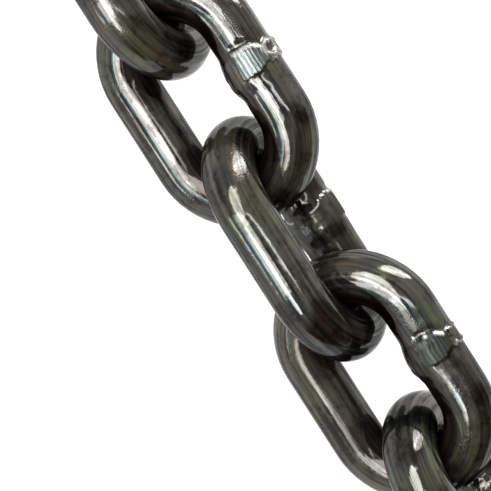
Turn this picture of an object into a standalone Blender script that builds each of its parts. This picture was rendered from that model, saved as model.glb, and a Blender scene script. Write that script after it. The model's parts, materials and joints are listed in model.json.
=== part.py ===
# One metre of welded short-link steel chain, 16 x 48 mm, laid out straight on a level floor.
# Metres, +Z up. The chain runs along X, and the origin is on the floor under the middle link.
#
# Every link is one bar, bent to a long ring and butt-welded on one leg. Links take turns at
# leaning 45 degrees to either side, as a chain does when it is pulled straight on a floor.

import math

import bpy

# Driving dimensions
WIRE = 0.016  # diameter of the bar
PITCH = 0.048  # inside length of a link, three bar diameters
INNER_WIDTH = 0.0208  # inside width of a link, 1.3 bar diameters
LINK_COUNT = 21  # links in one metre
LEAN = math.radians(45)  # how far a link's plane is turned from level
CROWN_GAP = 0.0003  # between two crowns that bear on each other

# The weld: a trimmed band between two ridges, tapering into the bar on both sides
WELD_BAND = 0.0064  # length of the trimmed band
WELD_RIDGE = 0.0010  # length of the slope up to a ridge, from the band
WELD_TAPER = 0.0034  # length of the slope from a ridge down to the bar
BAND_SWELL = 1.035  # the band's diameter as a share of the bar's
RIDGE_SWELL = 1.08  # a ridge's diameter as a share of the bar's

# Mesh density
CROWN_STEPS = 8  # segments in a crown's half circle
BEVEL_RESOLUTION = 4  # gives a 12-sided bar

STEEL_COLOUR = (0.075, 0.073, 0.070, 1.0)
STEEL_ROUGHNESS = 0.28

BEND_RADIUS = (INNER_WIDTH + WIRE) / 2  # of the bar's centre line, round a crown
BEND_CENTRE = (PITCH + WIRE) / 2 - BEND_RADIUS  # from the link's middle, along the chain
SPACING = PITCH - CROWN_GAP  # from one link's middle to the next one's
CROWN_REACH = (PITCH + WIRE) / 2  # from a link's middle to the middle of the bar at its crown
PIVOT_REACH = SPACING - CROWN_REACH  # from a link's middle to its neighbour's crown


def weld_leg():
    """The welded leg's points, as (place along the chain, share of the bar's diameter)."""
    band_end = WELD_BAND / 2
    ridge = band_end + WELD_RIDGE
    taper_end = ridge + WELD_TAPER
    rising = [(taper_end, 1.0), (ridge, RIDGE_SWELL), (band_end, BAND_SWELL)]
    falling = [(-along, swell) for along, swell in reversed(rising)]
    return rising + falling


def crown(start_angle):
    """One crown's points, as (along, across) from the middle of its bend."""
    angles = [start_angle + math.pi * step / CROWN_STEPS for step in range(CROWN_STEPS + 1)]
    return [(BEND_RADIUS * math.cos(a), BEND_RADIUS * math.sin(a)) for a in angles]


def link_route():
    """The bar's centre line round one link, as (along, across, share of the bar's diameter)."""
    far_crown = [(BEND_CENTRE + along, across, 1.0) for along, across in crown(-math.pi / 2)]
    welded = [(along, BEND_RADIUS, swell) for along, swell in weld_leg()]
    near_crown = [(along - BEND_CENTRE, across, 1.0) for along, across in crown(math.pi / 2)]
    return far_crown + welded + near_crown


def link_bar():
    """The curve that every link shares: a closed bar in the XY plane, with its weld at +Y."""
    curve = bpy.data.curves.new("link_bar", "CURVE")
    curve.dimensions = "3D"
    curve.twist_mode = "Z_UP"
    curve.bevel_depth = WIRE / 2
    curve.bevel_resolution = BEVEL_RESOLUTION
    route = link_route()
    spline = curve.splines.new("POLY")
    spline.points.add(len(route) - 1)
    for point, (along, across, swell) in zip(spline.points, route):
        point.co = (along, across, 0.0, 1.0)
        point.radius = swell
    spline.use_cyclic_u = True
    return curve


def steel():
    """Dark bright steel under a thin clear varnish."""
    material = bpy.data.materials.new("varnished_steel")
    material.use_nodes = True
    shader = material.node_tree.nodes["Principled BSDF"]
    shader.inputs["Base Color"].default_value = STEEL_COLOUR
    shader.inputs["Metallic"].default_value = 1.0
    shader.inputs["Roughness"].default_value = STEEL_ROUGHNESS
    return material


def lowest_point():
    """How far the chain's underside lies below its middle line."""
    flat = math.cos(math.pi / (4 + 2 * BEVEL_RESOLUTION))  # a flat's distance over a corner's
    leg_drop = BEND_RADIUS * math.sin(LEAN)
    return leg_drop + RIDGE_SWELL * WIRE / 2 * flat


def add_link(collection, curve, number):
    """One link at its parent's origin, lying flat."""
    link = bpy.data.objects.new(f"link_{number:02d}", curve)
    collection.objects.link(link)
    return link


def hang_link(collection, curve, number, neighbour, side):
    """Adds a link to its neighbour's crown, on the low (-1) or high (1) side along the chain.

    Its parent is an empty in the crown, on the axis that it swings about. The empty turns it
    to lean the other way from its neighbour.
    """
    pivot = bpy.data.objects.new(f"swing_{number:02d}", None)
    pivot.empty_display_size = WIRE
    pivot.parent = neighbour
    pivot.location.x = side * CROWN_REACH
    pivot.rotation_euler.x = -2 * LEAN if number % 2 else 2 * LEAN
    collection.objects.link(pivot)
    link = add_link(collection, curve, number)
    link.parent = pivot
    link.location.x = side * PIVOT_REACH
    return link


def place_links(collection, curve):
    """Lays the middle link down and hangs the others from it, outwards on both sides."""
    middle = (LINK_COUNT + 1) // 2
    root = add_link(collection, curve, middle)
    root.location.z = lowest_point()
    root.rotation_euler.x = -LEAN
    for side in (-1, 1):
        neighbour = root
        for step in range(1, middle):
            neighbour = hang_link(collection, curve, middle + side * step, neighbour, side)


def main():
    for old in list(bpy.data.objects):
        bpy.data.objects.remove(old)
    collection = bpy.data.collections.new("steel_link_chain")
    bpy.context.scene.collection.children.link(collection)
    curve = link_bar()
    curve.materials.append(steel())
    place_links(collection, curve)


main()
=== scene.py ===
import json
import math

import bmesh
import bpy
from mathutils import Matrix, Quaternion, Vector, noise


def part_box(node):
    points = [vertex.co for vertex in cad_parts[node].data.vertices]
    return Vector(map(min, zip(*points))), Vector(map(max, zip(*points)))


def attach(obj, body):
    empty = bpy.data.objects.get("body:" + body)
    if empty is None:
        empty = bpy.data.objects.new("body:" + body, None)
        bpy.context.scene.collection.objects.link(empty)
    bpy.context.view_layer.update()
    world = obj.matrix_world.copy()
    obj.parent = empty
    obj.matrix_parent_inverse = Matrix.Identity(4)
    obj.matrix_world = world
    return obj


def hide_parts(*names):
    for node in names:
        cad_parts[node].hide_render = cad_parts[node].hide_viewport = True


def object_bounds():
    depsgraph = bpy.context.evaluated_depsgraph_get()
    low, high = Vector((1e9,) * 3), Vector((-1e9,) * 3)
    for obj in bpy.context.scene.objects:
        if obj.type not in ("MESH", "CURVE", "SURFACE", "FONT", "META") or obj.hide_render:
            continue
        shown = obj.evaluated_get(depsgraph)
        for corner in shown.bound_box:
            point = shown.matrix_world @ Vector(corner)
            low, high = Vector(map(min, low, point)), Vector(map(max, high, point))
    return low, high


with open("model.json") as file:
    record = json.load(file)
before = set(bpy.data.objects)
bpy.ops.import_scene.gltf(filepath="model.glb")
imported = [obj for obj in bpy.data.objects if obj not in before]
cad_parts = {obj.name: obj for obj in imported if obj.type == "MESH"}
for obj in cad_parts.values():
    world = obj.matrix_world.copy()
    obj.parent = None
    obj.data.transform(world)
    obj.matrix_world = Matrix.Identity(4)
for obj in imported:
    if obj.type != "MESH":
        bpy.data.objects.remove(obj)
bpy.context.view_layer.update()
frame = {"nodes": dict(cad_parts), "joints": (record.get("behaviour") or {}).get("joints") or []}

# A metre of bright welded chain, laid out straight on a pale studio floor.
# Everything is in metres. A link is shaped lying flat, with its welded leg at +Y, and is then
# leaned and moved to its place.

mm = 0.001


# the view of the photograph

cameraSet = {
    "place": (-0.0301, -0.1684, 0.5196),
    "target": (-0.0062, -0.0141, 0.0214),
    "roll": 65.7,                # degrees, the picture turned anticlockwise
    "lens": 133.8,
    "sensor": 36.0,
    "near": 0.01,
}

def setCamera():
    data = bpy.data.cameras.new("photoCamera")
    data.lens = cameraSet["lens"]
    data.sensor_width = cameraSet["sensor"]
    data.clip_start = cameraSet["near"]
    camera = bpy.data.objects.new("photoCamera", data)
    place, target = Vector(cameraSet["place"]), Vector(cameraSet["target"])
    aim = (target - place).to_track_quat("-Z", "Y")
    roll = Quaternion((0, 0, 1), math.radians(cameraSet["roll"]))
    camera.rotation_mode = "QUATERNION"
    camera.location = place
    camera.rotation_quaternion = aim @ roll
    bpy.context.scene.collection.objects.link(camera)
    bpy.context.scene.camera = camera

setCamera()
print("camera set")


# sockets as numbers, so that a pattern reads as plain sums

class Wire:
    def __init__(self, tree, socket):
        self.tree = tree
        self.socket = socket

    def make(self, kind, inputs=None, out=0, **settings):
        # any node: its settings first, then a value or a wire for each socket
        node = self.tree.nodes.new(kind)
        stops = settings.pop("stops", None)
        for name, value in settings.items():
            setattr(node, name, value)
        if stops:
            ramp = node.color_ramp.elements
            while len(ramp) < len(stops):
                ramp.new(1.0)
            for element, (spot, colour) in zip(ramp, stops):
                element.position = spot
                element.color = colour
        for name, value in (inputs or {}).items():
            if isinstance(value, Wire):
                self.tree.links.new(value.socket, node.inputs[name])
            else:
                node.inputs[name].default_value = value
        return Wire(self.tree, node.outputs[out])

    def maths(self, operation, *values):
        return self.make("ShaderNodeMath", dict(enumerate(values)), operation=operation)

    def __add__(self, other):
        return self.maths("ADD", self, other)

    def __radd__(self, other):
        return self.maths("ADD", other, self)

    def __sub__(self, other):
        return self.maths("SUBTRACT", self, other)

    def __rsub__(self, other):
        return self.maths("SUBTRACT", other, self)

    def __mul__(self, other):
        return self.maths("MULTIPLY", self, other)

    def __rmul__(self, other):
        return self.maths("MULTIPLY", other, self)

    def smooth(self, low, high):
        # 0 below low and 1 above high
        limits = {"Value": self, "From Min": low, "From Max": high}
        return self.make("ShaderNodeMapRange", limits, interpolation_type="SMOOTHSTEP")

    def blend(self, first, second):
        # first where this wire is 0, second where it is 1; both are colours
        inputs = {0: self, 6: first, 7: second}
        return self.make("ShaderNodeMix", inputs, out=2, data_type="RGBA")


# dark drawn bar under clear varnish

varnishedSet = {
    "steel": (0.088, 0.088, 0.081, 1),
    "brownStain": (0.064, 0.042, 0.026, 1),
    "oliveStain": (0.057, 0.068, 0.031, 1),
    "blueSteel": (0.058, 0.074, 0.084, 1),
    "blackSteel": (0.020, 0.018, 0.015, 1),
    # painted shade: the colour that darkens the crooks, where one link bears on the next
    "crookShade": (0.015, 0.010, 0.008, 1),
    "shearedSteel": (0.107, 0.119, 0.114, 1),
    "dullSteel": (0.034, 0.038, 0.032, 1),   # of a flank that has turned dark
    "flashSteel": (0.34, 0.34, 0.33, 1),
    "edgeTint": (0.28, 0.28, 0.28, 1),   # how bright the metal is where it is seen at a slant
    "cleanMetal": 0.95,          # how much of the bar shines as metal; the rest is a thin haze
    "stainMetal": 0.52,

    # how strong each stain and the painted crook shade is, from 0 to 1
    "brown": 0.9,
    "olive": (0.35, 0.55),       # all over its patches, and more where they are smeared
    "streaks": (0.54, 0.27),     # between the smears, and between the drawn lines
    "specks": (0.20, 0.45),      # all over the dark patches, and more in their flecks
    "scratchDark": 0.45,
    "crookShadeDark": 0.9,
    "shearedDark": 0.9,
    "lineEdge": (0.40, 0.58),
    "crookShadeEdge": (0.05, 0.95),
    "crookShadeWander": (0.9, 0.3),   # how far the drawn lines and the dark patches move the edge of the painted crook shade

    "roughness": 0.075,
    "drawnRoughness": 0.10,      # how much rougher the drawn lines are
    "shearedRoughness": 0.30,
    "dullRoughness": 0.20,
    "flashRoughness": 0.30,
    "upsetRoughness": (0.16, 0.26),   # between the flecks and in them
    "varnish": 0.60,
    "varnishIor": 1.55,
    "varnishRoughness": 0.03,
    "varnishBare": (0.6, 0.7, 0.5),   # how bare of it sheared, flash and upset steel is
    "varnishDull": (0.9, 0.4),   # how much of it is lost in the streaks and in the painted shade of the crooks

    "lineDepth": 0.045 * mm,
    "scratchDepth": 0.022 * mm,
    "scratchWidth": 0.05,
    "waveDepth": 0.13 * mm,
    "pitDepth": 0.026 * mm,
    "pitEdge": (0.3, 0.7),
    "brownPits": 0.5,            # how much of the pits the brown stain has
    "fluteTurn": 7.9,            # degrees round the bar from one flute of the shears to the next
    "fluteWander": (2.2, 0.5),   # how far the waves and the hairs push a flute aside
    "fluteDepth": 0.15 * mm,
    "fluteShare": (0.6, 0.6),    # of that depth: everywhere, and more in the bands
    "hairDepth": 0.05 * mm,      # of the fine lines in the flutes

    # patterns drawn out along the bar: how fine, per millimetre, and in how much detail; where
    # two more numbers follow, the pattern is 0 below the one and 1 above the other
    "lap": 0.9 * mm,             # how little they change along the bar
    "lines": (1.1, 3.0),
    "hairs": (3.0, 2.0),
    "bands": (0.35, 2.0, 0.42, 0.62),
    "smears": (0.7, 3.0, 0.36, 0.66),
    "scratches": (0.36, 1.0),

    # patterns alike in every direction: how fine, per metre, in how much detail and how rough
    "waves": (150.0, 2.0, 0.55),
    "grain": (1700.0, 2.0, 0.55),
    "patches": (60.0, 3.0, 0.55, 0.53, 0.64),
    "warm": (38.0, 2.0, 0.55, 0.43, 0.60),
    "mossy": (46.0, 3.0, 0.6, 0.44, 0.58),
    "cold": (52.0, 2.0, 0.6, 0.53, 0.66),
    "dark": (130.0, 5.0, 0.65, 0.44, 0.62),
    "fleck": (700.0, 3.0, 0.6, 0.40, 0.60),
    "scratchPlaces": (90.0, 1.0, 0.55, 0.45, 0.55),
}

def varnishedSteel():
    look = varnishedSet
    material = bpy.data.materials.new("varnishedSteel")
    material.use_nodes = True
    tree = material.node_tree
    shader = tree.nodes["Principled BSDF"]
    shader.inputs["Coat Roughness"].default_value = look["varnishRoughness"]
    shader.inputs["Coat IOR"].default_value = look["varnishIor"]
    shader.inputs["Specular Tint"].default_value = look["edgeTint"]
    start = Wire(tree, None)
    place = start.make("ShaderNodeTexCoord", out="Object")
    around = start.make("ShaderNodeAttribute", out="Vector", attribute_name="aroundBar")
    lap = start.make("ShaderNodeAttribute", out="Fac", attribute_name="lapOfBar")
    marks = start.make("ShaderNodeAttribute", out="Vector", attribute_name="weldMarks")
    crook = start.make("ShaderNodeAttribute", out="Fac", attribute_name="crook")
    cut = start.make("ShaderNodeSeparateXYZ", {"Vector": marks}, out="X")
    darkMark = weldSet["darkMark"]
    sheared, fresh = cut.smooth(0.0, darkMark), cut.smooth(darkMark, 1.0)
    flash = start.make("ShaderNodeSeparateXYZ", {"Vector": marks}, out="Y")
    upset = start.make("ShaderNodeSeparateXYZ", {"Vector": marks}, out="Z")

    def cloud(name):
        scale, detail, roughness, *limits = look[name]
        inputs = {"Vector": place, "Scale": scale, "Detail": detail, "Roughness": roughness}
        pattern = start.make("ShaderNodeTexNoise", inputs, noise_dimensions="3D")
        return pattern.smooth(*limits) if limits else pattern

    def drawn(name):
        scale, detail, *limits = look[name]
        inputs = {"Vector": around, "W": lap, "Scale": scale / mm, "Detail": detail}
        pattern = start.make("ShaderNodeTexNoise", inputs, noise_dimensions="4D")
        return pattern.smooth(*limits) if limits else pattern

    lines, hairs, bands, smears = [drawn(name) for name in ("lines", "hairs", "bands", "smears")]
    waves, patches, dark, fleck = [cloud(name) for name in ("waves", "patches", "dark", "fleck")]

    # scratches come and go along the bar
    offLine = drawn("scratches") - 0.5
    scratch = 1 - offLine.maths("ABSOLUTE", offLine).smooth(0.0, look["scratchWidth"])
    scratch = scratch * cloud("scratchPlaces")

    # the marks that the shears left on the weld's flanks: 0 in a flute's middle, 1 at its edges
    x = start.make("ShaderNodeSeparateXYZ", {"Vector": around}, out="X")
    y = start.make("ShaderNodeSeparateXYZ", {"Vector": around}, out="Y")
    turns = start.maths("ARCTAN2", y, x) * (180 / math.pi / look["fluteTurn"])
    byWaves, byHairs = look["fluteWander"]
    turns = turns + waves * byWaves + hairs * byHairs
    cell = turns.maths("FRACT", turns) - 0.5
    hollows = cell * cell * 4.0

    brown = cloud("warm") * smears * look["brown"]
    thin, thick = look["olive"]
    olive = cloud("mossy") * (thin + smears * thick)
    colour = cloud("cold").blend(look["steel"], look["blueSteel"])
    colour = olive.blend(colour, look["oliveStain"])
    colour = brown.blend(colour, look["brownStain"])
    stained = brown + olive - brown * olive
    metal = look["cleanMetal"] - stained * (look["cleanMetal"] - look["stainMetal"])
    offSmear, offLines = look["streaks"]
    streaky = (1 - smears) * offSmear + (1 - lines.smooth(*look["lineEdge"])) * offLines
    thin, thick = look["specks"]
    black = streaky + dark * (thin + thick * fleck) + scratch * look["scratchDark"]
    colour = black.blend(colour, look["blackSteel"])
    # painted shade in the crooks, where the links bear on each other: a darker colour and less
    # varnish, its edge broken by the drawn lines and the dark patches
    byLines, byDark = look["crookShadeWander"]
    crookShade = crook + (lines - 0.5) * byLines + (dark - 0.5) * byDark
    crookShade = crookShade.smooth(*look["crookShadeEdge"])
    colour = (crookShade * look["crookShadeDark"]).blend(colour, look["crookShade"])
    flank = fresh.blend(look["dullSteel"], look["shearedSteel"])
    colour = (sheared * look["shearedDark"]).blend(colour, flank)
    colour = flash.blend(colour, look["flashSteel"])

    rough = look["roughness"] + hairs * bands * look["drawnRoughness"]
    rough = rough + sheared * look["shearedRoughness"] + flash * look["flashRoughness"]
    offFleck, inFleck = look["upsetRoughness"]
    rough = rough + upset * (offFleck + (inFleck - offFleck) * fleck)
    rough = rough + sheared * (1 - fresh) * look["dullRoughness"]

    height = lines * look["lineDepth"] + waves * look["waveDepth"]
    pits = cloud("grain").smooth(*look["pitEdge"]) * (patches + brown * look["brownPits"])
    height = height + pits * look["pitDepth"] - scratch * look["scratchDepth"]
    offBand, inBand = look["fluteShare"]
    flutes = hollows * (offBand + bands * inBand) * look["fluteDepth"] + hairs * look["hairDepth"]
    height = height + sheared * flutes
    bump = start.make("ShaderNodeBump", {"Height": height, "Strength": 1.0, "Distance": 1.0})

    bareFlank, bareFlash, bareUpset = look["varnishBare"]
    bare = sheared * bareFlank + flash * bareFlash + upset * bareUpset
    byStreaks, byCrookShade = look["varnishDull"]
    varnish = look["varnish"] * (1 - bare) * (1 - streaky * byStreaks) * (1 - crookShade * byCrookShade)
    metal = metal + sheared * (1 - metal)

    for name, wire in {
        "Base Color": colour,
        "Metallic": metal,
        "Roughness": rough,
        "Coat Weight": varnish,
        "Normal": bump,
    }.items():
        tree.links.new(wire.socket, shader.inputs[name])
    return material


# one link: a bar bent to a ring and butt-welded on one leg

linkSet = {
    "barRadius": 8.0 * mm,
    "bendRadius": 18.4 * mm,     # of the bar's middle line, round a crown
    "legHalf": 13.6 * mm,        # half a straight leg
    "lean": 45,                  # degrees, to either side in turn
    "around": 128,
    "crownSteps": 28,
    "plainSteps": 8,
    "endSteps": 3,               # on the welded leg, beyond the weld's reach
    "weldReach": 10.5 * mm,
    "weldSteps": 68,
    "weldFade": 1.5 * mm,        # how long the weld's relief takes to fade out at its reach
    "mergeDistance": 0.01 * mm,
    "crownThinning": 0.20 * mm,  # the bar thins a little on the outside of a bend
    # where the painted shade in the crooks begins and is full, along the link and round the bar
    "crookAlong": (-2 * mm, 14 * mm),
    "crookTurn": (96, 116),
    "lapStep": 20 * mm,          # so that no two links have the same drawn lines
}

def sweep(bm, ring, steps, move=(0, 0, 0), centre=(0, 0, 0), turn=0.0):
    # pushes the open ring of edges on, straight or round a bend, and gives the new ring
    made = bmesh.ops.spin(
        bm, geom=ring, cent=centre, axis=(0, 0, -1), dvec=Vector(move) / steps,
        angle=turn, steps=steps, use_merge=False, use_duplicate=False,
    )
    return [part for part in made["geom_last"] if isinstance(part, bmesh.types.BMEdge)]

def bentBar():
    size = linkSet
    half, reach, bend = size["legHalf"], size["weldReach"], size["bendRadius"]
    bm = bmesh.new()
    bmesh.ops.create_circle(bm, cap_ends=False, segments=size["around"], radius=size["barRadius"])
    bmesh.ops.rotate(bm, verts=bm.verts, cent=(0, 0, 0), matrix=Matrix.Rotation(math.pi / 2, 3, "Y"))
    bmesh.ops.translate(bm, verts=bm.verts, vec=(-half, bend, 0))
    ring = list(bm.edges)
    ring = sweep(bm, ring, size["endSteps"], move=(half - reach, 0, 0))
    ring = sweep(bm, ring, size["weldSteps"], move=(2 * reach, 0, 0))
    ring = sweep(bm, ring, size["endSteps"], move=(half - reach, 0, 0))
    ring = sweep(bm, ring, size["crownSteps"], centre=(half, 0, 0), turn=math.pi)
    ring = sweep(bm, ring, size["plainSteps"], move=(-2 * half, 0, 0))
    sweep(bm, ring, size["crownSteps"], centre=(-half, 0, 0), turn=math.pi)
    bmesh.ops.remove_doubles(bm, verts=bm.verts, dist=size["mergeDistance"])
    bmesh.ops.recalc_face_normals(bm, faces=bm.faces)
    sortFaces(bm)
    return bm

def sortFaces(bm):
    # spin leaves the faces in another order each run, so they are put in the same one
    bm.verts.index_update()
    count = len(bm.verts)

    def rank(face):
        first, second, third = sorted(vert.index for vert in face.verts)[:3]
        return (first * count + second) * count + third

    bm.faces.sort(key=rank)

def barPlace(point):
    # the nearest point of the bar's middle line, the direction outwards from it in the
    # link's plane, and the angle round the bar: 0 outwards, 180 towards the opening
    half, bend = linkSet["legHalf"], linkSet["bendRadius"]
    corner = Vector((max(-half, min(half, point.x)), 0, 0))
    outwards = Vector((point.x, point.y, 0)) - corner
    outwards.normalize()
    middle = corner + outwards * bend
    offset = point - middle
    angle = math.degrees(math.atan2(offset.z, offset.dot(outwards)))
    return middle, offset, angle


# the weld: upset bar, a sheared flank between a bead and a groove, and two ridges of flash
# outside; places along the bar and widths are in millimetres, and turns round it in degrees:
# 0 outside, 180 towards the opening; unless its note says otherwise, a pair is the place where
# a form begins, or has ended, and the place where it is full

weldSet = {
    "shift": 0.5,                # how far the weld may lie off the middle of its leg

    "innerSwell": 1.05 * mm,
    "swellStart": (-7.8, 0.7),
    "swellEnd": (7.4, 2.8),
    "upsetTurn": (95, 107),
    "lumpHeight": 0.30 * mm,
    "lumpSize": (1.9, 15),       # along the bar and round it
    "lumpTurn": (120, 140),

    "flankStart": (-5.5, -3.3),  # this and its end: at the side, and towards the outside
    "flankEnd": (2.7, 1.3),
    "outsideTurn": (62, 32),
    "flankSwell": 0.32 * mm,
    "flankTurn": (25, 75),
    "flankRise": (-0.9, 2.3),    # from the flank's start
    "flankFall": (8.6, 2.0),
    "flankLift": 0.12 * mm,
    "edge": 0.40,
    "edgeShift": 0.40,           # how far the flank's two edges wander
    "bladeStart": (27, 35),
    "bladeEnd": (102, 96),
    "bladeSlant": 0.6,           # degrees for each millimetre along the bar
    "dipDepth": 0.26 * mm,
    "dip": (-1.5, 1.0),          # from the flank's start, and its width

    "beadHeight": 0.50 * mm,
    "beadWidth": 0.70,
    "freshBead": (0.45, 1.1),    # the least share of that height, and what wanders above it
    "dullBead": 0.75,
    "beadGap": (-0.20, 0.10),    # where a wander of this much breaks a bead
    "beadFlash": (0.12, 0.52),   # how high a bead has to be to shine
    "innerBead": (-6.2, -2.6),   # where it begins and ends on the inner side
    "innerBeadTurn": (95, 170),
    "innerBeadStart": (96, 104),
    "innerBeadEnd": (172, 164),
    "innerBeadShift": 0.7,
    "innerBeadShare": 0.7,
    "innerBeadWidth": 0.36,

    "grooveDepth": 0.20 * mm,
    "groovePlace": 0.35,         # beyond the flank's end
    "grooveWidths": (0.42, 2.4),  # towards the flank and away from it
    "grooveTurn": (92, 78),

    "outerTurn": (36, 26),
    "ridges": ((-3.7, 0, 3), (1.2, 4, 9)),   # the place, and seeds for its wander and its height
    "ridgeShift": (0.9, 11),     # how far it wanders, and the turn between two wanders
    "ridgeWidth": 0.50,
    "ridgeHeight": 0.50 * mm,
    "ridgeShare": (0.55, 0.9, 8),   # of that height: the middle, the wander and its turn
    "ridgeFlash": (0.25, 0.75),
    "blockHeight": 0.24 * mm,    # of the skin between the ridges
    "blockEdge": (-0.6, 0.2),
    "roughHeight": 0.10 * mm,
    "roughSize": (0.8, 6),
    "roughPlace": (-1.2, 3.4),   # along the bar, and how far it reaches

    "ringLinks": (3, 1),         # on every third link from the first
    "ringPlace": (-2.0, 15.0),
    "ringSize": (2.3, 16.0),
    "ringHeight": 0.50 * mm,
    "ringWidth": 0.26,           # these are shares of the ring's size
    "ringFlash": (0.8, 0.3),     # how bright, and over what width
    "ringHollow": (0.15 * mm, 0.6),

    "freshLinks": (4, 2),        # whose flanks are still bright: every fourth from the second
    "darkMark": 0.5,             # the mark of a flank that has turned dark, where a bright one is 1
    "scorched": 0.7,             # how dull the bar is beyond a dark flank
    "scorchedStart": (2.5, 4.5),
    "scorchedEnd": (10.3, 7.3),
    "scorchedTurn": (40, 60),

    # wanders: the turn from one to the next, and a seed
    "startWander": (9, 0),
    "endWander": (7, 9),
    "freshWander": (5, 4),
    "dullWander": (15, 5),
    "innerWander": (6, 2),
    "gapWander": (9, 7),
    "sideSeeds": (2.9, 7.3),     # below and above the link's plane
    # what a link's number is multiplied by, and what is added, so that each link is its own
    "linkSeeds": {"shift": (7.1, 0), "flank": (3.7, 0), "lump": (4.1, 9), "rough": (2.3, 0),
                  "ridge": (1.9, 0), "height": (2.9, 0)},
}

def ease(value, nothing=0.0, full=1.0):
    # 0 at the first limit and 1 at the second, whichever is the larger, and smooth between
    share = max(0.0, min(1.0, (value - nothing) / (full - nothing)))
    return share * share * (3 - 2 * share)

def mix(pair, share):
    return pair[0] + (pair[1] - pair[0]) * share

def hump(distance, width):
    return math.exp(-((distance / width) ** 2))

def chance(*spot):
    return noise.noise(Vector(spot))

def oneOf(links, number):
    every, first = links
    return number % every == first

def weldSkin(along, angle, number):
    # how far the skin stands proud of the plain bar, and three marks: sheared, flash and upset
    weld = weldSet
    turn = abs(angle)
    side = weld["sideSeeds"][angle > 0]
    seeds = {use: number * factor + more for use, (factor, more) in weld["linkSeeds"].items()}

    def wander(name):
        step, seed = weld[name]
        return chance(turn / step, seeds["flank"], side + seed)

    along = along - weld["shift"] * chance(seeds["shift"], 0.5, 0.5)
    inward = (1 - math.cos(math.radians(angle))) / 2
    swell = ease(along, *weld["swellStart"]) * ease(along, *weld["swellEnd"])
    lift = weld["innerSwell"] * inward ** 3 * swell
    upset = swell * ease(turn, *weld["upsetTurn"])

    outside = ease(turn, *weld["outsideTurn"])
    start = mix(weld["flankStart"], outside) + weld["edgeShift"] * wander("startWander")
    end = mix(weld["flankEnd"], outside) + weld["edgeShift"] * wander("endWander")
    risen = ease(along - start, *weld["flankRise"]) * ease(along, *weld["flankFall"])
    lift += weld["flankSwell"] * ease(turn, *weld["flankTurn"]) * risen
    blade = ease(turn, *weld["bladeStart"])
    blade *= ease(turn - weld["bladeSlant"] * along, *weld["bladeEnd"])
    band = ease(along - start, 0, weld["edge"]) * ease(end - along, 0, weld["edge"])
    lift += blade * band * weld["flankLift"]
    place, width = weld["dip"]
    lift -= blade * weld["dipDepth"] * hump(along - start - place, width)

    fresh = oneOf(weld["freshLinks"], number)
    if fresh:
        least, more = weld["freshBead"]
        rise = least + more * abs(wander("freshWander"))
    else:
        rise = weld["dullBead"] * ease(wander("dullWander"), *weld["beadGap"])
    bead = blade * rise * hump(along - start, weld["beadWidth"])
    if number % 2:
        # a second, broken bead on the inner side of the odd links
        start = mix(weld["innerBead"], ease(turn, *weld["innerBeadTurn"]))
        start += weld["innerBeadShift"] * wander("innerWander")
        broken = ease(wander("gapWander"), *weld["beadGap"])
        broken *= ease(turn, *weld["innerBeadStart"]) * ease(turn, *weld["innerBeadEnd"])
        bead += weld["innerBeadShare"] * broken * hump(along - start, weld["innerBeadWidth"])
    lift += bead * weld["beadHeight"]
    flash = ease(bead, *weld["beadFlash"])

    size, sizeTurn = weld["lumpSize"]
    lump = chance(along / size, angle / sizeTurn, seeds["lump"])
    lift += upset * ease(turn, *weld["lumpTurn"]) * weld["lumpHeight"] * lump
    groove = blade * ease(turn, *weld["grooveTurn"])
    beyond = along - end - weld["groovePlace"]
    lift -= groove * weld["grooveDepth"] * hump(beyond, weld["grooveWidths"][beyond > 0])

    outer = ease(turn, *weld["outerTurn"])
    for place, placeSeed, heightSeed in weld["ridges"]:
        shift, step = weld["ridgeShift"]
        ridge = place + shift * chance(angle / step, seeds["ridge"], placeSeed)
        share, sway, step = weld["ridgeShare"]
        high = share + sway * chance(angle / step, seeds["height"], heightSeed)
        ridge = outer * max(0.0, high) * hump(along - ridge, weld["ridgeWidth"])
        lift += weld["ridgeHeight"] * ridge
        flash = max(flash, ease(ridge, *weld["ridgeFlash"]))
    near, far = weld["ridges"][0][0], weld["ridges"][1][0]
    block = ease(along - near, *weld["blockEdge"]) * ease(far - along, *weld["blockEdge"])
    lift += outer * weld["blockHeight"] * block
    size, sizeTurn = weld["roughSize"]
    rough = chance(along / size, angle / sizeTurn, seeds["rough"])
    place, width = weld["roughPlace"]
    lift += outer * weld["roughHeight"] * rough * hump(along - place, width)

    if oneOf(weld["ringLinks"], number):
        (place, placeTurn), (size, sizeTurn) = weld["ringPlace"], weld["ringSize"]
        away = math.hypot((along - place) / size, (turn - placeTurn) / sizeTurn)
        hollow, width = weld["ringHollow"]
        lift += weld["ringHeight"] * hump(away - 1, weld["ringWidth"]) - hollow * hump(away, width)
        bright, width = weld["ringFlash"]
        flash = max(flash, bright * hump(away - 1, width))
    if not fresh:
        scorched = ease(along, *weld["scorchedStart"]) * ease(along, *weld["scorchedEnd"])
        scorched *= ease(turn, *weld["scorchedTurn"])
        upset = max(upset, weld["scorched"] * scorched)
    return lift, (blade * band * (1.0 if fresh else weld["darkMark"]), flash, upset)

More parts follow.
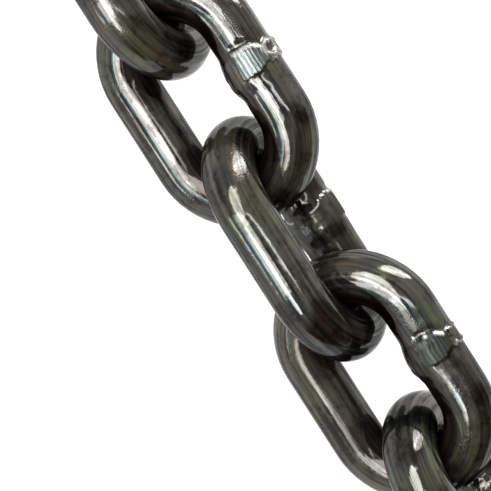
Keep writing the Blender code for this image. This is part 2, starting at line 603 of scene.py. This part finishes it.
def plainBar():
    # the bar without its weld, with what every link needs of each vertex: its place for the
    # drawn lines, how deep it lies in a crook, and on the welded leg its place on the weld
    size = linkSet
    bm = bentBar()
    around, laps, crooks, weldPlaces = [], [], [], []
    for vert in bm.verts:
        middle, offset, angle = barPlace(vert.co)
        turn, way = math.radians(angle), math.atan2(vert.co.y, vert.co.x)
        lap = varnishedSet["lap"]
        radius = size["barRadius"]
        around += (radius * math.cos(turn), radius * math.sin(turn), lap * math.cos(way))
        laps.append(lap * math.sin(way))
        out = offset.normalized()
        along = abs(vert.co.x)
        if vert.co.y > 0 and along < size["weldReach"]:
            weldPlaces.append((vert.index, vert.co.x, angle, middle, out))
        # how deep it lies in a crook, which sets the painted shade there
        crooks.append(ease(along, *size["crookAlong"]) * ease(abs(angle), *size["crookTurn"]))
        bent = ease(along, size["legHalf"], size["legHalf"] + size["bendRadius"])
        thinned = size["crownThinning"] * bent * max(0.0, math.cos(turn))
        vert.co = middle + out * (radius - thinned)
    for face in bm.faces:
        face.smooth = True
    return bm, around, laps, crooks, weldPlaces

def weldLink(bm, weldPlaces, number):
    reach = linkSet["weldReach"]
    marks = [0.0] * (3 * len(bm.verts))
    bm.verts.ensure_lookup_table()
    for index, along, angle, middle, out in weldPlaces:
        fade = ease(abs(along), reach, reach - linkSet["weldFade"])
        lift, marks[3 * index:3 * index + 3] = weldSkin(along / mm, angle, number)
        bm.verts[index].co = middle + out * (linkSet["barRadius"] + lift * fade)
    return marks

def makeChain():
    steel = varnishedSteel()
    plain, around, laps, crooks, weldPlaces = plainBar()
    axisHeight = frame["joints"][0]["pos_m"][2]
    for number, name in enumerate(sorted(frame["nodes"]), start=1):
        bm = plain.copy()
        marks = weldLink(bm, weldPlaces, number)
        mesh = bpy.data.meshes.new(name + "_bar")
        bm.to_mesh(mesh)
        bm.free()
        bar = [lap + number * linkSet["lapStep"] for lap in laps]
        mesh.attributes.new("aroundBar", "FLOAT_VECTOR", "POINT").data.foreach_set("vector", around)
        mesh.attributes.new("lapOfBar", "FLOAT", "POINT").data.foreach_set("value", bar)
        mesh.attributes.new("crook", "FLOAT", "POINT").data.foreach_set("value", crooks)
        mesh.attributes.new("weldMarks", "FLOAT_VECTOR", "POINT").data.foreach_set("vector", marks)
        low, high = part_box(name)
        centre = Vector(((low[0] + high[0]) / 2, 0, axisHeight))
        lean = math.radians(-linkSet["lean"] if number % 2 else linkSet["lean"])
        mesh.transform(Matrix.Translation(centre) @ Matrix.Rotation(lean, 4, "X"))
        mesh.materials.append(steel)
        link = bpy.data.objects.new(name + "_bar", mesh)
        bpy.context.scene.collection.objects.link(link)
        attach(link, name)
        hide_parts(name)
    plain.free()

makeChain()
print("links bent and welded")


# a pale floor, a room that is dark on one side, a window and a few tubes

studioSet = {
    "floorSize": 6.0,
    "floorRoughness": 0.9,
    "floorShine": 0.1,
    "floor": (0.12, 0.12, 0.12, 1),
    "floorGlow": 1.65,
    # the floor's own light across the chain, from this far on the -Y side to the +Y side
    "floorReach": 1.0,
    "floorLight": (
        (0.00, (0.30, 0.30, 0.29, 1)),
        (0.40, (0.43, 0.43, 0.42, 1)),
        (0.46, (0.58, 0.58, 0.57, 1)),
        (0.50, (0.62, 0.62, 0.61, 1)),
        (0.54, (0.92, 0.92, 0.90, 1)),
        (0.60, (1.00, 1.00, 0.98, 1)),
    ),
    # the room from its -Y wall over the ceiling to its +Y wall
    "roomGlow": 1.5,
    "roomLight": (
        (0.00, (0.60, 0.60, 0.57, 1)),
        (0.12, (0.44, 0.43, 0.40, 1)),
        (0.55, (0.44, 0.43, 0.39, 1)),
        (0.82, (0.52, 0.51, 0.46, 1)),
        (1.00, (0.86, 0.85, 0.78, 1)),
    ),
    "darkRoom": (0.100, 0.055, 0.036, 1),
    # the dark corner of the room: each side of it as a direction, and how far along that
    # direction it begins and is full
    "darkSides": (
        ((1.0, 0.0, 0.0), 0.03, 0.27),
        ((0.727, 0.586, -0.358), -0.25, 0.05),
        ((0.0, -0.17, 0.985), 0.0, 0.10),
    ),
    "frame": (0.14, 0.20, 0.245, 1),
    # the window's dark frame ends between these, as sines of the angle from its middle line,
    # and along X it begins between the first two and ends between the others
    "frameReach": (0.45, 0.56),
    "frameEnds": (-0.22, -0.12, 0.06, 0.18),
    "lampColour": (0.965, 0.980, 1.0),
}

def setFloor():
    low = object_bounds()[0]
    bpy.ops.mesh.primitive_plane_add(size=studioSet["floorSize"], location=(0, 0, low[2]))
    floor = bpy.context.object
    floor.name = "studioFloor"
    material = bpy.data.materials.new("paleFloor")
    material.use_nodes = True
    shader = material.node_tree.nodes["Principled BSDF"]
    shader.inputs["Base Color"].default_value = studioSet["floor"]
    shader.inputs["Roughness"].default_value = studioSet["floorRoughness"]
    shader.inputs["Specular IOR Level"].default_value = studioSet["floorShine"]
    shader.inputs["Emission Strength"].default_value = studioSet["floorGlow"]
    place = Wire(material.node_tree, None).make("ShaderNodeTexCoord", out="Object")
    across = place.make("ShaderNodeSeparateXYZ", {"Vector": place}, out="Y")
    share = across * (0.5 / studioSet["floorReach"]) + 0.5
    glow = across.make("ShaderNodeValToRGB", {"Fac": share}, stops=studioSet["floorLight"])
    material.node_tree.links.new(glow.socket, shader.inputs["Emission Color"])
    floor.data.materials.append(material)

# each end of a lamp's middle line is given as degrees above +Y across the chain and degrees
# towards +X; its width is in degrees too, and how far away it is in metres
lampSet = {
    "window": {"ends": ((138, 5.5), (138, -9)), "width": 37, "away": 1.6, "bright": 9.0},
    "slantedWindow": {"ends": ((136, -2), (102, -36)), "width": 30, "away": 1.6, "bright": 9.0,
                      "shape": "ELLIPSE"},
    "windowHeart": {"ends": ((139, 22), (135, -10)), "width": 9, "away": 1.6, "bright": 5.0},
    "windowEnd": {"ends": ((140, 22), (138, 0)), "width": 17, "away": 1.6, "bright": 6.0,
                  "shape": "ELLIPSE"},
    "skyPane": {"ends": ((158, 7), (159, -9)), "width": 11, "away": 1.6, "bright": 2.2,
                "colour": (0.52, 0.86, 1.0)},
    "blind": {"ends": ((175, 3), (180, -7)), "width": 6, "away": 1.6, "bright": 9.0},
    "sideTube": {"ends": ((12, -17), (66, -44)), "width": 5, "away": 1.9, "bright": 9.0},
    "sideLamp": {"ends": ((8, -17), (61, -42)), "width": 18, "away": 1.9, "bright": 8.5,
                 "shape": "ELLIPSE"},
    "shortTube": {"ends": ((88, -30), (104, -33)), "width": 4, "away": 1.9, "bright": 7.0},
    "farLamp": {"ends": ((88, 5), (107, -5)), "width": 4, "away": 1.9, "bright": 9.0},
}

def lampWay(across, tilt):
    across, tilt = math.radians(across), math.radians(tilt)
    flat = math.cos(tilt)
    return Vector((math.sin(tilt), flat * math.cos(across), flat * math.sin(across)))

def setLamps():
    for name, lampLook in lampSet.items():
        distance = lampLook["away"]
        ends = [lampWay(*end) * distance for end in lampLook["ends"]]
        data = bpy.data.lights.new(name, "AREA")
        data.shape = lampLook.get("shape", "RECTANGLE")
        data.size = (ends[1] - ends[0]).length
        data.size_y = 2 * distance * math.tan(math.radians(lampLook["width"] / 2))
        data.energy = lampLook["bright"] * math.pi * data.size * data.size_y
        data.color = lampLook.get("colour", studioSet["lampColour"])
        lamp = bpy.data.objects.new(name, data)
        middle = (ends[0] + ends[1]) / 2
        long = (ends[1] - ends[0]).normalized()
        back = (middle - long * middle.dot(long)).normalized()
        axes = Matrix((long, back.cross(long), back)).transposed()
        lamp.rotation_mode = "QUATERNION"
        lamp.rotation_quaternion = axes.to_quaternion()
        lamp.location = middle
        lamp.visible_camera = False
        bpy.context.scene.collection.objects.link(lamp)

def setRoom():
    world = bpy.data.worlds.new("room")
    bpy.context.scene.world = world
    world.use_nodes = True
    tree = world.node_tree
    way = Wire(tree, None).make("ShaderNodeTexCoord", out="Generated")

    def along(direction):
        inputs = {0: way, 1: direction}
        return way.make("ShaderNodeVectorMath", inputs, out="Value", operation="DOT_PRODUCT")

    fromWall = along((0, 0.5, 0)) + 0.5
    colour = way.make("ShaderNodeValToRGB", {"Fac": fromWall}, stops=studioSet["roomLight"])

    # the window's dark frame
    aside = along(lampWay(lampSet["window"]["ends"][0][0] + 90, 0))
    rails = 1 - aside.maths("ABSOLUTE", aside).smooth(*studioSet["frameReach"])
    ends = studioSet["frameEnds"]
    rails = rails * along((1, 0, 0)).smooth(*ends[:2]) * (1 - along((1, 0, 0)).smooth(*ends[2:]))
    colour = rails.blend(colour, studioSet["frame"])

    dark = 1
    for direction, begins, full in studioSet["darkSides"]:
        dark = dark * along(direction).smooth(begins, full)
    colour = dark.blend(colour, studioSet["darkRoom"])
    background = tree.nodes["Background"]
    background.inputs["Strength"].default_value = studioSet["roomGlow"]
    tree.links.new(colour.socket, background.inputs["Color"])

setFloor()
setLamps()
setRoom()
bpy.context.scene.view_settings.view_transform = "Standard"
print("studio set")
